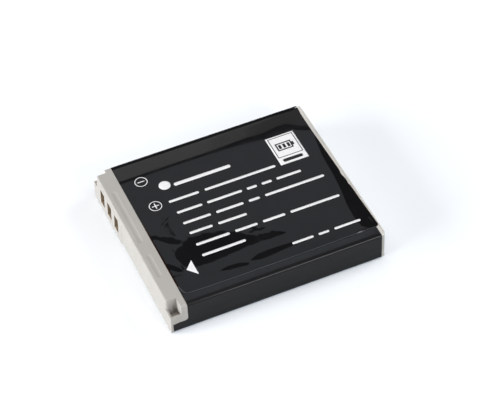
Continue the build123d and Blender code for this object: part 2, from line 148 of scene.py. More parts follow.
class ShaderGraph:
    """A material's node tree, with short calls for the nodes that a finish takes."""

    def __init__(self, name: str) -> None:
        """Makes an empty material with one surface shader.

        Args:
            name: the material's name.
        """
        self.material = bpy.data.materials.new(name)
        self.material.use_nodes = True
        self.tree = self.material.node_tree
        self.tree.nodes.clear()
        self.surface = self.tree.nodes.new("ShaderNodeBsdfPrincipled")
        output = self.tree.nodes.new("ShaderNodeOutputMaterial")
        self.link(self.surface.outputs["BSDF"], output.inputs["Surface"])
        self.place = self.tree.nodes.new("ShaderNodeTexCoord").outputs["Object"]

    def link(self, source: Socket, target: Socket) -> None:
        """Joins two sockets."""
        self.tree.links.new(source, target)

    def set(self, **values: float) -> None:
        """Sets constants on the surface shader's own sockets, by their names."""
        for name, value in values.items():
            self.surface.inputs[name].default_value = value

    def drive(self, name: str, source: Socket) -> None:
        """Feeds one socket of the surface shader."""
        self.link(source, self.surface.inputs[name])

    def stretched(self, scale: Triple) -> Socket:
        """Object coordinates scaled by axis.

        Args:
            scale: factor on each axis.

        Returns:
            The scaled coordinates.
        """
        mapping = self.tree.nodes.new("ShaderNodeMapping")
        mapping.inputs["Scale"].default_value = scale
        self.link(self.place, mapping.inputs["Vector"])
        return mapping.outputs["Vector"]

    def noise(self, texture: Texture) -> Socket:
        """Smooth noise.

        Args:
            texture: its size, detail and stretch.

        Returns:
            A value between 0 and 1.
        """
        node = self.tree.nodes.new("ShaderNodeTexNoise")
        node.inputs["Scale"].default_value = 1.0 / (texture.size_mm * MM)
        node.inputs["Detail"].default_value = texture.detail
        place = self.stretched(texture.stretch) if texture.stretch else self.place
        self.link(place, node.inputs["Vector"])
        return node.outputs["Fac"]

    def spread(self, value: Socket, limits: Point) -> Socket:
        """Maps a noise value onto a range.

        Args:
            value: the noise.
            limits: results for low and for high values.

        Returns:
            The mapped value.
        """
        node = self.tree.nodes.new("ShaderNodeMapRange")
        for name, number in zip(("From Min", "From Max", "To Min", "To Max"), NOISE_RANGE + limits):
            node.inputs[name].default_value = number
        self.link(value, node.inputs["Value"])
        return node.outputs["Result"]

    def blend(self, value: Socket, first: Colour, second: Colour) -> Socket:
        """Two colours mixed by a noise value.

        Args:
            value: the noise.
            first: colour at low values.
            second: colour at high values.

        Returns:
            The mixed colour.
        """
        node = self.tree.nodes.new("ShaderNodeValToRGB")
        for element, position, colour in zip(node.color_ramp.elements, NOISE_RANGE, (first, second)):
            element.position, element.color = position, (*colour, 1.0)
        self.link(value, node.inputs["Fac"])
        return node.outputs["Color"]

    def bump(self, height: Socket, depth_mm: float) -> Socket:
        """Fine relief.

        Args:
            height: value between 0 and 1.
            depth_mm: depth between its lows and highs.

        Returns:
            The bumped normal.
        """
        node = self.tree.nodes.new("ShaderNodeBump")
        node.inputs["Distance"].default_value = depth_mm * MM
        self.link(height, node.inputs["Height"])
        return node.outputs["Normal"]


@dataclass(frozen=True)
class Finish:
    """A finish, which one procedural material gives.

    Attributes:
        name: the material's name.
        colour: its colour where its mottle runs high.
        second: its colour where its mottle runs low.
        grain: texture of its roughness.
        roughness: the lowest and the highest.
        mottle: texture of its colour, where it isn't the grain.
        relief: texture of its relief, where it isn't the grain.
        depth_mm: depth of the relief, or none.
        index: refractive index.
        metallic: 1 for a metal.
    """

    name: str
    colour: Colour
    second: Colour
    grain: Texture
    roughness: Point
    mottle: Texture | None = None
    relief: Texture | None = None
    depth_mm: float = 0.0
    index: float = 1.5
    metallic: float = 0.0

    def build(self) -> Material:
        """Makes the material.

        Returns:
            The finished material.
        """
        graph = ShaderGraph(self.name)
        grain = graph.noise(self.grain)
        mottle = graph.noise(self.mottle) if self.mottle else grain
        graph.drive("Base Color", graph.blend(mottle, self.second, self.colour))
        graph.drive("Roughness", graph.spread(grain, self.roughness))
        if self.depth_mm:
            relief = graph.noise(self.relief) if self.relief else grain
            graph.drive("Normal", graph.bump(relief, self.depth_mm))
        graph.set(IOR=self.index, Metallic=self.metallic)
        return graph.material


@dataclass(frozen=True)
class MouldedPlastic(Finish):
    """Matt moulded plastic with a fine spark-eroded grain."""

    grain: Texture = Texture(0.11, 2.0)
    roughness: Point = (0.46, 0.6)
    mottle: Texture = Texture(5.0)
    depth_mm: float = 0.006
    index: float = 1.46


@dataclass(frozen=True)
class GlossyFilm(Finish):
    """Shrunk-on printed film: near black, glossy, with faint scuffs and a slight orange peel."""

    grain: Texture = Texture(3.0, 6.0, (1.0, 3.0, 1.0))
    roughness: Point = (0.035, 0.075)
    mottle: Texture = Texture(3.0, 5.0)
    relief: Texture = Texture(0.7, 2.0)
    depth_mm: float = 0.0002
    index: float = 1.25


@dataclass(frozen=True)
class PrintedInk(Finish):
    """A thin coat of print, slightly uneven."""

    grain: Texture = Texture(0.3)
    roughness: Point = (0.3, 0.45)
    mottle: Texture = Texture(0.5, 4.0)
    index: float = 1.4


@dataclass(frozen=True)
class RolledMetal(Finish):
    """Bare metal with fine drawing or rolling lines along one axis."""

    grain: Texture = Texture(0.12, stretch=LINES_ALONG_X)
    roughness: Point = (0.24, 0.42)
    mottle: Texture = Texture(2.5, 4.0)
    depth_mm: float = 0.003
    metallic: float = 1.0


@dataclass(frozen=True)
class Fibrous(Finish):
    """Paper, foam or ceramic: matt, with a mottled grain."""

    grain: Texture = Texture(0.2, 4.0, FIBRES)
    roughness: Point = (0.7, 0.9)
    depth_mm: float = 0.01


PALE_PLASTIC = MouldedPlastic("pale_plastic", (0.44, 0.425, 0.398), (0.41, 0.395, 0.368))
# Lighter copy of the pale plastic for the base cap's upward faces: painted light.
BASE_TOP_PAINTED_LIGHT = MouldedPlastic("base_top_painted_light", (0.72, 0.7, 0.665), (0.67, 0.652, 0.62))
# Darker brown copy of the pale plastic for the contact windows' walls: painted shade of the recesses and
# painted reflection of the gold contacts.
WINDOW_PAINTED_SHADE_AND_REFLECTION = MouldedPlastic("window_painted_shade_and_reflection", (0.33, 0.265, 0.19), (0.27, 0.215, 0.15))
BLACK_FILM = GlossyFilm("black_film", (0.0074, 0.0076, 0.0082), (0.0058, 0.006, 0.0064))
FILM_FINISHES = {
    FilmFace.GLOSS: BLACK_FILM,
    FilmFace.CUT: MouldedPlastic("film_cut_edge", (0.13, 0.028, 0.018), (0.06, 0.016, 0.012)),
    # Lighter grey glossy film for the lap's lip and the seam corner: painted highlight of the seam line.
    FilmFace.LAP: GlossyFilm(
        "film_lap_painted_highlight", (0.045, 0.047, 0.051), (0.065, 0.067, 0.072), roughness=(0.08, 0.15)
    ),
    # Lighter copy of the black film for the bare near strip: painted reflection.
    FilmFace.BARE: GlossyFilm("bare_film_painted_reflection", (0.015, 0.0156, 0.0169), (0.013, 0.0136, 0.0149)),
    # Reddish near-black for the first column along the dipped terminal-end edge.
    FilmFace.WORN: GlossyFilm("film_red_edge_tint", (0.02, 0.0075, 0.005), (0.016, 0.006, 0.0042)),
}
WHITE_INK = PrintedInk("white_ink", (0.88, 0.88, 0.88), (0.8, 0.8, 0.81))
BLACK_INK = PrintedInk("black_ink", (0.012, 0.012, 0.013), (0.02, 0.02, 0.021))

SLOT_FINISHES = {
    Slot.MOULDING: PALE_PLASTIC,
    Slot.FILM: BLACK_FILM,
    Slot.CAN: RolledMetal("drawn_can", (0.72, 0.73, 0.74), (0.62, 0.63, 0.64)),
    Slot.GASKET: MouldedPlastic("gasket_plastic", (0.012, 0.012, 0.013), (0.009, 0.009, 0.01)),
    Slot.NICKEL: RolledMetal(
        "nickel_strip", (0.61, 0.58, 0.53), (0.5, 0.47, 0.43), Texture(0.12, stretch=LINES_ALONG_Y)
    ),
    Slot.PAPER: Fibrous("insulating_paper", (0.2, 0.26, 0.17), (0.15, 0.2, 0.13)),
    Slot.BOARD: MouldedPlastic(
        "solder_mask", (0.012, 0.07, 0.03), (0.008, 0.05, 0.022), roughness=(0.2, 0.35)
    ),
    # Gold plate darkened to brown: the gold's own colour with painted shade of the recessed contact windows.
    Slot.GOLD: RolledMetal(
        "gold_plate", (0.42, 0.3, 0.175), (0.32, 0.225, 0.13), Texture(0.12, stretch=LINES_ALONG_Z)
    ),
    Slot.CHIP: MouldedPlastic("chip_moulding", (0.011, 0.011, 0.012), (0.008, 0.008, 0.009)),
    Slot.CERAMIC: Fibrous("ceramic", (0.2, 0.12, 0.06), (0.15, 0.09, 0.045), Texture(0.1, 4.0, FIBRES)),
    Slot.FOAM: Fibrous("adhesive_foam", (0.6, 0.6, 0.56), (0.5, 0.5, 0.47), Texture(0.3, 4.0, FIBRES)),
}


def make_object(name: str, points: np.ndarray, faces: list, materials: list[Material]) -> Piece:
    """Makes a smooth-shaded mesh object from points in millimetres.

    Args:
        name: the piece's name.
        points: one row of X, Y, Z for each vertex.
        faces: vertex numbers of each face.
        materials: its material slots.

    Returns:
        The linked object.
    """
    mesh = bpy.data.meshes.new(name)
    mesh.from_pydata((points * MM).tolist(), [], faces)
    for material in materials:
        mesh.materials.append(material)
    mesh.polygons.foreach_set("use_smooth", np.ones(len(mesh.polygons), bool))
    mesh.update()
    piece = bpy.data.objects.new(name, mesh)
    bpy.context.scene.collection.objects.link(piece)
    return piece


def grid_faces(rows: int, columns: int, start: int = 0, flip: bool = False) -> list[tuple[int, ...]]:
    """Quads of a grid of vertices that is numbered row by row.

    Args:
        rows: rows of vertices.
        columns: vertices in a row.
        start: number of the first vertex.
        flip: turns the faces over.

    Returns:
        Four vertex numbers for each quad.
    """
    faces = []
    for row in range(rows - 1):
        for column in range(columns - 1):
            a = start + row * columns + column
            quad = (a, a + 1, a + columns + 1, a + columns)
            faces.append(quad[::-1] if flip else quad)
    return faces


def rounding(depth: np.ndarray | float, radius: float) -> np.ndarray | float:
    """How far a corner of a radius cuts in at a depth from its side, which is nothing past the radius."""
    inside = np.clip(radius - depth, 0.0, radius)
    return radius - np.sqrt(radius**2 - inside**2)


def soften(rows: np.ndarray) -> np.ndarray:
    """Evens each row out with the rows on both sides of it."""
    padded = np.pad(rows, ((1, 1), (0, 0)), mode="edge")
    return (padded[:-2] + 2.0 * rows + padded[2:]) / 4.0


@dataclass(frozen=True)
class Ripple:
    """One gentle wave of an uneven sheet or edge.

    Attributes:
        depth: height of its crests.
        along: radians for each millimetre of the first coordinate.
        across: radians for each millimetre of the second coordinate.
        phase: radians at the start.
    """

    depth: float
    along: float
    across: float = 0.0
    phase: float = 0.0

    def at(self, first: np.ndarray, second: np.ndarray | float = 0.0) -> np.ndarray:
        """Height of the wave at each place."""
        return self.depth * np.sin(self.along * first + self.across * second + self.phase)


@dataclass(frozen=True)
class Fold:
    """A slack facet that runs along the film and faces the near side.

    Attributes:
        along: X of its points, in rising order.
        low: Y of its near edge at each point.
        high: Y of its far edge at each point.
        slope: how steeply it rises away from the near side.
        relax: distance over which the film falls back beyond its far edge.
        settle: the same before its near edge.
        dip: share of its rise that lies below the film round it.
        ragged: how far its edges wander.
        wander: waves that its edges wander in.
    """

    along: Profile
    low: Profile
    high: Profile
    slope: float
    relax: float = 5.0
    settle: float = 5.0
    dip: float = 0.5
    ragged: float = 0.0
    wander: tuple[Ripple, ...] = (
        Ripple(1.0, 2.3, phase=1.0),
        Ripple(0.7, 5.1),
        Ripple(0.5, 9.7, phase=2.0),
    )

    def height(self, x: np.ndarray, y: np.ndarray) -> np.ndarray:
        """Height of the fold over the flat film.

        Args:
            x: X of each place.
            y: Y of each place.

        Returns:
            The height at each place.
        """
        wander = self.ragged * sum(wave.at(x) for wave in self.wander)
        width = np.interp(x, self.along, np.subtract(self.high, self.low))
        width = np.maximum(width + wander * np.minimum(width, 1.0), 0.0)
        run = y - np.interp(x, self.along, self.low) - 0.5 * wander
        before, after = np.maximum(-run, 0.0), np.maximum(run - width, 0.0)
        rise = np.clip(run, 0.0, width) - self.dip * width
        return self.slope * rise * np.exp(-before / self.settle - after / self.relax)


@dataclass(frozen=True)
class Droop:
    """Where the film hangs down toward the base end.

    Attributes:
        across: Y of its points, in rising order.
        start: X where it begins at each point.
        slope: how steeply it falls.
    """

    across: Profile
    start: Profile
    slope: float

    def height(self, x: np.ndarray, y: np.ndarray) -> np.ndarray:
        """Height of the droop, which is negative."""
        return -self.slope * np.maximum(x - np.interp(y, self.across, self.start), 0.0)


@dataclass(frozen=True)
class Shoulder:
    """Where the film bends down toward the far side, in two flat stages and a rolled edge.

    Attributes:
        along: X of its points, in rising order.
        low: Y where the first stage begins at each point.
        high: Y where the second stage begins at each point.
        slopes: how steeply each stage falls.
        roll: how far the rolled edge falls besides.
        roll_length: how far the rolled edge reaches in from the side.
    """

    along: Profile
    low: Profile
    high: Profile
    slopes: Point
    roll: float
    roll_length: float

    def height(self, x: np.ndarray, y: np.ndarray, y_edge: float) -> np.ndarray:
        """Height of the shoulder, which is negative.

        Args:
            x: X of each place.
            y: Y of each place.
            y_edge: Y where the film turns down the far side.

        Returns:
            The height at each place.
        """
        low, high = np.interp(x, self.along, self.low), np.interp(x, self.along, self.high)
        first, second = np.clip(y - low, 0.0, high - low), np.maximum(y - high, 0.0)
        rolled = np.clip(1.0 - (y_edge - y) / self.roll_length, 0.0, 1.0) ** 2
        return -self.slopes[0] * first - self.slopes[1] * second - self.roll * rolled


@dataclass
class FilmRelief:
    """Slackness, folds, droop and shoulder of the film's printed layer, held on a fine lattice."""

    x_range: Point
    y_range: Point
    lift: float = 0.088
    pitch: float = 0.1
    softening: int = 2
    slack: tuple[Ripple, ...] = (Ripple(0.004, 0.31, 0.2), Ripple(0.003, -0.17, 0.45, 1.0))
    shoulder: Shoulder = Shoulder(
        along=(-16.9, -8.0, 0.0, 4.0, 6.0, 8.0, 9.5, 11.0, 12.5, 14.0, 15.5, 16.2, 17.0, 18.0, 19.2, 20.5),
        low=(13.0, 13.0, 12.95, 12.8, 12.65, 12.4, 12.2, 12.1)
        + (12.1, 12.15, 12.2, 12.2, 11.65, 11.05, 10.5, 10.0),
        high=(13.7, 13.7, 13.65, 13.8, 13.85, 13.9, 13.75, 13.65)
        + (13.9, 14.2, 14.2, 14.0, 13.4, 12.5, 11.9, 11.5),
        slopes=(0.0105, 0.021),
        roll=0.055,
        roll_length=1.1,
    )
    folds: tuple[Fold, ...] = (
        Fold(
            along=(-16.9, -16.0, -15.0, -14.0, -13.0, -12.5, -12.0, -11.7),
            low=(-1.6, -2.0, -3.0, -4.1, -4.9, -4.6, -4.2, -4.05),
            high=(-0.7, -0.9, -1.5, -2.2, -2.9, -3.3, -3.8, -4.05),
            slope=0.045,
            relax=3.5,
            settle=0.6,
            dip=0.15,
            ragged=0.1,
        ),
        Fold(
            along=(-14.5, -14.1, -13.0, -12.0, -11.0, -9.0, -7.0, -5.0, -3.5, -2.3, -1.3, 0.5, 2.5, 4.0, 5.2),
            low=(-7.5, -9.6, -10.2, -10.5, -10.7, -10.7, -10.6, -10.4)
            + (-10.2, -10.1, -10.1, -10.1, -10.2, -10.1, -9.9),
            high=(-7.5, -5.6, -5.1, -4.2, -3.9, -3.9, -4.2, -4.8, -5.6, -6.7, -7.4, -8.1, -8.6, -9.2, -9.9),
            slope=0.03,
            dip=0.55,
            ragged=0.12,
        ),
        Fold(
            along=(-1.6, -0.6, 0.4, 1.5, 2.6),
            low=(-7.1, -7.5, -7.7, -7.6, -7.1),
            high=(-7.1, -6.9, -6.8, -6.9, -7.1),
            slope=0.05,
            relax=1.0,
            settle=1.0,
            ragged=0.3,
        ),
        Fold(
            along=(-9.3, -7.3, -5.4, -4.0, -3.6),
            low=(-13.05, -13.6, -13.75, -13.95, -13.5),
            high=(-13.05, -12.6, -12.75, -13.35, -13.5),
            slope=0.042,
            relax=2.0,
            settle=2.0,
        ),
        Fold(
            along=(-3.7, -1.5, 0.3, 2.8, 6.2, 8.6),
            low=(-13.2, -13.75, -13.65, -13.35, -12.95, -12.75),
            high=(-13.2, -12.3, -12.2, -12.3, -12.65, -12.75),
            slope=0.03,
            relax=2.0,
            settle=2.0,
        ),
        Fold(
            along=(-16.9, -16.2, -15.4, -14.1),
            low=(-9.0, -9.4, -10.3, -10.65),
            high=(-7.7, -7.9, -8.8, -10.65),
            slope=0.042,
            relax=2.0,
            settle=2.0,
        ),
        Fold(
            along=(-16.9, -15.3, -14.6),
            low=(-11.0, -11.35, -11.5),
            high=(-10.6, -10.95, -11.5),
            slope=0.034,
            relax=1.5,
            settle=1.5,
        ),
        Fold(
            along=(-14.5, -13.8, -12.3, -11.1),
            low=(0.35, 0.55, 1.55, 2.6),
            high=(0.35, 0.95, 2.0, 2.6),
            slope=0.09,
            relax=0.9,
            settle=0.9,
        ),
    )
    droop: Droop = Droop(
        across=(-15.8, -14.3, -12.0, -8.8, -5.0, -1.4, 3.5, 7.8, 11.0),
        start=(18.6, 17.2, 16.9, 17.05, 17.6, 17.9, 18.1, 18.7, 19.4),
        slope=0.042,
    )
    heights: np.ndarray = field(init=False)

    def __post_init__(self) -> None:
        """Works out the lattice and softens its creases."""
        self.xs = np.arange(self.x_range[0], self.x_range[1] + self.pitch, self.pitch)
        self.ys = np.arange(self.y_range[0], self.y_range[1] + self.pitch, self.pitch)
        x, y = np.meshgrid(self.xs, self.ys)
        height = self.lift + self.droop.height(x, y) + self.shoulder.height(x, y, self.y_range[1])
        height += sum(fold.height(x, y) for fold in self.folds)
        height += sum(wave.at(x, y) for wave in self.slack)
        for _ in range(self.softening):
            height = soften(soften(height).T).T
        self.heights = height

    def at(self, x: np.ndarray, y: np.ndarray) -> np.ndarray:
        """Height over the flat film, read between the lattice's points.

        Args:
            x: X of each place.
            y: Y of each place.

        Returns:
            The height at each place.
        """
        u = np.clip((x - self.xs[0]) / self.pitch, 0.0, len(self.xs) - LATTICE_END)
        v = np.clip((y - self.ys[0]) / self.pitch, 0.0, len(self.ys) - LATTICE_END)
        i, j = u.astype(int), v.astype(int)
        fu, fv = u - i, v - j
        h = self.heights
        near = h[j, i] * (1.0 - fu) + h[j, i + 1] * fu
        far = h[j + 1, i] * (1.0 - fu) + h[j + 1, i + 1] * fu
        return near * (1.0 - fv) + far * fv


@dataclass(frozen=True)
class Nick:
    """A worn place in a cut edge.

    Attributes:
        y: Y of its middle.
        depth: how far it cuts in, or below nothing where the edge stands out.
        reach: half its width.
    """

    y: float
    depth: float
    reach: float

    def at(self, y: float) -> float:
        """Depth of the nick at a place along the edge."""
        return self.depth * math.exp(-(((y - self.y) / self.reach) ** 2))


@dataclass(frozen=True)
class Curl:
    """A short stretch of the lap's edge that has sprung up.

    Attributes:
        x: X of its middle.
        reach: half its length.
        rise: how far the film stands up behind the edge.
        drop: how far the edge itself dips.
    """

    x: float
    reach: float
    rise: float
    drop: float

    def at(self, x: np.ndarray) -> np.ndarray:
        """Share of the curl at each place along the edge."""
        return np.exp(-(((x - self.x) / self.reach) ** 4))


@dataclass(frozen=True)
class SheetRow:
    """One row of the film's sheet, which runs the length of the pack.

    Attributes:
        y: its Y.
        z: its Z.
        normal: Y and Z of the outward normal.
        slack: share of the sheet's unevenness there.
        printed: whether it lies in the printed top layer.
        follow: share of the printed layer's far edge height that it takes on.
        curl: height that it gains where the lap's edge is curled.
        face: finish of the faces between it and the next row.
    """

    y: float
    z: float
    normal: Point
    slack: float = 0.0
    printed: bool = False
    follow: float = 0.0
    curl: float = 0.0
    face: FilmFace = FilmFace.GLOSS


@dataclass
class LabelFilm:
    """The film: one sheet wound round the pack, its printed end lapped over its other end near the seam."""

    thickness: float = 0.07
    corner_radius: float = 0.37
    far_radius: float = 0.2
    far_bulge: float = 0.11
    near_roll: float = 0.006
    near_roll_length: float = 0.4
    edge_strip: float = 3.43
    end_strip: float = 0.85
    far_end_strip: float = 0.93
    near_end_strip: float = 0.27
    end_bow: float = 1.4
    end_nicks: tuple[Nick, ...] = (Nick(-1.5, 0.18, 0.8), Nick(-4.0, 0.1, 0.4), Nick(17.3, -0.25, 2.0))
    dip_along: Profile = (-14.2, -12.6, -8.0, 0.0, 3.0)
    dip_depth: Profile = (0.0, 0.05, 0.05, 0.03, 0.0)
    lean: float = 0.05
    lean_along: Point = (-9.0, -3.0)
    tab_height: float = 2.2
    tab_radius: float = 0.6
    seam_from_side: float = 2.24
    seam_bow: float = 0.2
    seam_bow_reach: float = 3.0
    seam_overlap: float = 2.6
    seam_corner: float = 0.7
    seam_slant: float = 0.5
    seam_slant_reach: float = 2.2
    end_corner: float = 0.7
    curl: Curl = Curl(16.3, 0.8, 0.1, 0.07)
    lip: float = 0.12
    set_back: float = 0.01
    slack: tuple[Ripple, ...] = (Ripple(0.006, 0.5, 0.4), Ripple(0.004, 1.3, 1.0))
    columns: int = 172
    top_step: float = 0.2
    side_step: float = 0.35
    under_step: float = 1.1
    arc_steps: int = 6
    crease_deg: float = 40.0
    relief: FilmRelief = field(init=False)

    def __post_init__(self) -> None:
        """Takes the film's place from the frame."""
        low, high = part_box("label_film")
        self.x_tab, self.x_far_end = low.x / MM, high.x / MM
        self.y_out = high.y / MM
        self.z_low = low.z / MM
        self.z_top = high.z / MM - self.thickness
        self.x_left = packed_box[0][0] / MM + self.edge_strip
        self.x_base = packed_box[1][0] / MM
        self.y_seam = -self.y_out + self.seam_from_side
        self.y_flat = self.y_out - self.corner_radius
        self.y_far_out = self.y_out + self.far_bulge
        self.y_far_flat = self.y_far_out - self.far_radius
        lattice_x = (self.x_left - self.lip, self.x_far_end + self.lip)
        lattice_y = (self.y_seam - self.seam_bow - self.lip, self.y_far_flat)
        self.relief = FilmRelief(lattice_x, lattice_y)

    def surface(self, x: np.ndarray, y: np.ndarray) -> np.ndarray:
        """Z of the printed layer's outside at each place."""
        return self.z_top + self.relief.at(x, y)

    def straight(
        self,
        start: Point,
        stop: Point,
        normal: Point,
        step: float,
        uneven: bool = False,
        printed: bool = False,
    ) -> list[SheetRow]:
        """Rows of a straight stretch of the section, without its last one.

        Args:
            start: Y and Z where it begins.
            stop: Y and Z where it ends.
            normal: its outward normal.
            step: the longest distance between rows.
            uneven: whether the sheet is slack there.
            printed: whether it is the printed layer.

        Returns:
            The rows.
        """
        count = max(math.ceil(math.dist(start, stop) / step), 1)
        rows = []
        for share in np.arange(count) / count:
            y, z = (a + share * (b - a) for a, b in zip(start, stop))
            slack = math.sin(math.pi * share) if uneven else 0.0
            rows.append(SheetRow(y, z, normal, slack, printed))
        return rows

    def turn(self, centre: Point, first_deg: float, radius: float) -> list[SheetRow]:
        """Rows of a quarter turn of the section, without its last one.

        Args:
            centre: Y and Z of its centre.
            first_deg: angle of its first normal.
            radius: its radius.

        Returns:
            The rows.
        """
        rows = []
        for i in range(self.arc_steps):
            angle = math.radians(first_deg + QUARTER_DEG * i / self.arc_steps)
            normal = (math.cos(angle), math.sin(angle))
            y, z = (c + radius * n for c, n in zip(centre, normal))
            rows.append(SheetRow(y, z, normal))
        return rows

    def near_strip(self) -> list[SheetRow]:
        """Rows of the bare strip between the seam and the near side, which rolls over a little.

        Returns:
            The rows.
        """
        rows = []
        start, stop = (self.y_seam, self.z_top), (-self.y_flat, self.z_top)
        for row in self.straight(start, stop, (0.0, 1.0), self.top_step):
            rolled = max(1.0 - (row.y + self.y_flat) / self.near_roll_length, 0.0) ** 2
            # The bare strip takes the lighter film: painted reflection.
            rows.append(replace(row, z=row.z - self.near_roll * rolled, face=FilmFace.BARE))
        return rows

    def wrap(self) -> list[SheetRow]:
        """The sheet's path round the pack, from its hidden end to its printed end.

        Returns:
            Its rows, in order.
        """
        r, out, flat = self.corner_radius, self.y_out, self.y_flat
        low, top, tab, seam = self.z_low, self.z_top, self.tab_height, self.y_seam
        far_r, far_out, far_flat = self.far_radius, self.y_far_out, self.y_far_flat
        near_top = top - self.near_roll - r
        up, down, near, far = (0.0, 1.0), (0.0, -1.0), (-1.0, 0.0), (1.0, 0.0)
        rows = self.straight((seam + self.seam_overlap, top), (seam, top), up, self.under_step)
        rows += self.near_strip()
        rows += self.turn((-flat, near_top), 90.0, r)
        rows += self.straight((-out, near_top), (-out, tab), near, self.side_step, uneven=True)
        rows += self.straight((-out, tab), (-out, low + r), near, self.side_step, uneven=True)
        rows += self.turn((-flat, low + r), 180.0, r)
        rows += self.straight((-flat, low), (flat, low), down, self.under_step, uneven=True)
        rows += self.turn((flat, low + r), 270.0, r)
        rows += self.straight((out, low + r), (out, tab), far, self.side_step, uneven=True)
        rows += self.straight((out, tab), (far_out, top - far_r), far, self.side_step, uneven=True)
        for i, row in enumerate(self.turn((far_flat, top - far_r), 0.0, far_r)):
            rows.append(replace(row, follow=i / self.arc_steps))
        rows += self.straight((far_flat, top), (seam + self.lip, top), up, self.top_step, printed=True)
        # The lip between these two rows is lighter: painted highlight.
        lap = SheetRow(seam + self.lip, top, up, printed=True, curl=self.curl.rise, face=FilmFace.LAP)
        rows.append(lap)
        rows.append(replace(lap, y=seam, curl=-self.curl.drop))
        return rows

    def by_seam_corner(self, row: SheetRow) -> float:
        """How near a row of the printed layer lies to the seam, from 0 to 1."""
        return max(1.0 - (row.y - self.y_seam) / self.seam_slant_reach, 0.0) if row.printed else 0.0

    def left_edge(self, row: SheetRow) -> float:
        """X of the sheet's cut edge at the terminal end.

        Args:
            row: the row that begins there.

        Returns:
            Where the row begins.
        """
        if row.printed:
            slant = self.seam_slant * self.by_seam_corner(row)
            slant -= float(np.interp(row.y, self.lean_along, (0.0, self.lean)))
            return self.x_left + slant + rounding(row.y - self.y_seam, self.seam_corner)
        upright = row.normal[1] == 0.0
        if row.z < self.tab_height:
            return self.x_tab
        return self.x_left - (rounding(row.z - self.tab_height, self.tab_radius) if upright else 0.0)

    def right_edge(self, row: SheetRow) -> float:
        """X of the sheet's cut edge at the base end, which runs out of square on the printed layer.

        Args:
            row: the row that ends there.

        Returns:
            Where the row ends.
        """
        if row.printed:
            return self.printed_end(row.y)
        plain = self.x_base - self.end_strip
        return plain + row.follow * (self.printed_end(self.y_far_flat) - plain)

    def printed_end(self, y: float) -> float:
        """X of the printed layer's cut edge at the base end.

        Args:
            y: Y along it.

        Returns:
            Where the layer ends.
        """
        share = max((self.y_flat - y) / (self.y_flat - self.y_seam), 0.0) ** self.end_bow
        strip = self.far_end_strip + share * (self.near_end_strip - self.far_end_strip)
        worn = sum(nick.at(y) for nick in self.end_nicks)
        return self.x_base - strip - worn - rounding(y - self.y_seam, self.end_corner)

    def edge_dip(self, row: SheetRow) -> float:
        """How far the printed layer's cut edge at the terminal end dips at a row."""
        return float(np.interp(row.y, self.dip_along, self.dip_depth)) if row.printed else 0.0

    def row_points(self, row: SheetRow) -> np.ndarray:
        """The outside of one row.

        Args:
            row: the row.

        Returns:
            X, Y and Z along it.
        """
        x = np.linspace(self.left_edge(row), self.right_edge(row), self.columns)
        y, z = np.full_like(x, row.y), np.full_like(x, row.z)
        if row.printed:
            middle, half = (self.x_left + self.x_far_end) / 2.0, (self.x_far_end - self.x_left) / 2.0
            bow = self.seam_bow * (1.0 - ((x - middle) / half) ** 2)
            y -= bow * max(1.0 - (row.y - self.y_seam) / self.seam_bow_reach, 0.0)
            z = self.surface(x, y) + row.curl * self.curl.at(x)
        z = z + row.follow * self.relief.at(x, np.full_like(x, self.y_far_flat))
        z[0] -= self.edge_dip(row)
        sunk = row.slack * (self.set_back + sum(wave.at(x, row.y + row.z) for wave in self.slack))
        return np.column_stack((x, y - row.normal[0] * sunk, z - row.normal[1] * sunk))

    def build(self) -> Piece:
        """Makes the closed sheet, with its cut edges in their own material.

        Returns:
            The film.
        """
        rows = self.wrap()
        count = len(rows)
        outside = np.array([self.row_points(row) for row in rows])
        normals = np.array([(0.0, *row.normal) for row in rows])
        inside = outside - self.thickness * normals[:, None, :]
        points = np.concatenate((outside.reshape(-1, 3), inside.reshape(-1, 3)))
        inner = count * self.columns
        outer_faces = grid_faces(count, self.columns, flip=True)
        rim, rim_index = self.rim_faces(rows, inner)
        faces = outer_faces + grid_faces(count, self.columns, inner) + rim
        index = np.concatenate((self.face_index(rows), np.zeros(len(outer_faces)), rim_index))
        materials = [FILM_FINISHES[face].build() for face in FilmFace]
        film = make_object("wrapped_film", points, faces, materials)
        film.data.polygons.foreach_set("material_index", index.astype(np.int32))
        film.data.set_sharp_from_angle(angle=math.radians(self.crease_deg))
        return film

    def face_index(self, rows: list[SheetRow]) -> np.ndarray:
        """Material of each face of the sheet's outside.

        Args:
            rows: the sheet's rows.

        Returns:
            Each face's material number, row by row.
        """
        index = np.array([[row.face.value] * (self.columns - 1) for row in rows[:-1]])
        for number, row in enumerate(rows[:-1]):
            if self.by_seam_corner(row) > 0.0:
                # The first column by the seam corner is lighter: painted highlight.
                index[number, 0] = FilmFace.LAP.value
            # A reddish tint on the first column where the terminal-end edge dips.
            elif self.edge_dip(row) > 0.0:
                index[number, 0] = FilmFace.WORN.value
        return index.ravel()

    def rim_faces(self, rows: list[SheetRow], inner: int) -> tuple[list[tuple[int, ...]], list[int]]:
        """Quads that close the sheet's four cut edges.

        Args:
            rows: the sheet's rows.
            inner: number of the first vertex of the sheet's inside.

        Returns:
            Four vertex numbers for each quad, and each quad's material.
        """
        count, columns = len(rows), self.columns
        left = range(0, count * columns, columns)
        right = range(columns - 1, count * columns, columns)
        first = range(columns)
        last = range((count - 1) * columns, count * columns)
        cut, lap = FilmFace.CUT.value, FilmFace.LAP.value
        # Cut edges by the seam corner and along the lap are lighter: painted highlight.
        by_corner = [lap if self.by_seam_corner(row) > 0.0 else cut for row in rows[:-1]]
        index = by_corner + [cut] * (len(rows) - 1 + columns - 1) + [lap] * (columns - 1)
        faces = []
        for border, flip in ((left, False), (right, True), (first, True), (last, False)):
            for a, b in zip(border, border[1:]):
                quad = (a, b, b + inner, a + inner)
                faces.append(quad[::-1] if flip else quad)
        return faces, index


@dataclass(frozen=True)
class PrintLine:
    """A line of print, as plain bars with gaps between them.

    Attributes:
        start: X where it begins.
        y: Y of its middle.
        height: height of its bars.
        units: length of each bar, in pitches.
        pitch: length of one unit, and of the gaps.
    """

    start: float
    y: float
    height: float
    units: tuple[int, ...]
    pitch: float


